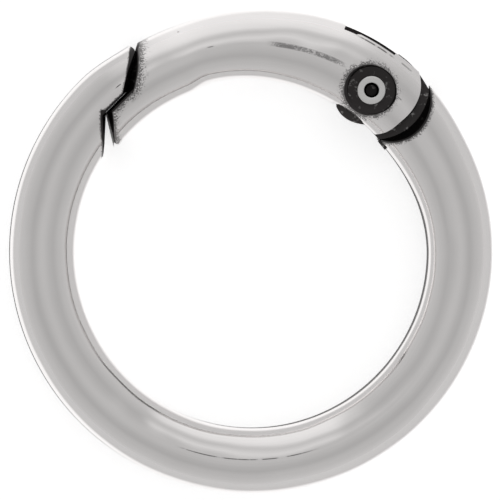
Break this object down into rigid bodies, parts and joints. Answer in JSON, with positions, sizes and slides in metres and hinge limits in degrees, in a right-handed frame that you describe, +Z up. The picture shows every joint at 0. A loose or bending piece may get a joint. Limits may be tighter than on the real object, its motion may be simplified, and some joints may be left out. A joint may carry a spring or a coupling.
{
  "type": "spring gate ring clasp",
  "caption": "Round polished metal clasp: a ring body with a hinged gate that a hidden spring holds shut.",
  "frame": {"origin": "centre of the ring in plan, on the surface that the ring lies on", "axes": "+Z up through the ring's eye, +Y towards the middle of the gate, +X towards the hinge's side"},
  "size_m": [0.025, 0.025, 0.0034],
  "materials": {
    "ring_silver": "polished antiqued silver plate",
    "gate_silver": "polished antiqued silver plate",
    "rivet_steel": "plated, faced flat",
    "spring_steel": "drawn wire",
    "plunger_steel": "turned"
  },
  "bodies": {
    "ring": {"ring_body": "ring_silver"},
    "gate": {"gate": "gate_silver", "pivot_rivet": "rivet_steel", "gate_spring": "spring_steel"},
    "plunger": {"spring_plunger": "plunger_steel"}
  },
  "joints": [
    {"name": "gate_hinge", "type": "hinge", "parent": "ring", "child": "gate", "pos_m": [0.00624, 0.00834, 0.0017], "axis": [0, 0, 1], "range_deg": [0, 38], "stiffness_Nm_per_rad": 0.00074, "springref_deg": -76.2},
    {"name": "plunger_slide", "type": "slide", "parent": "gate", "child": "plunger", "axis": [-0.859, 0.512, 0], "range_m": [0, 0.0004], "deforming": ["gate_spring"]}
  ],
  "couplings": [
    {"joint": "plunger_slide", "follows": "gate_hinge", "m_per_rad": 0.0006}
  ]
}
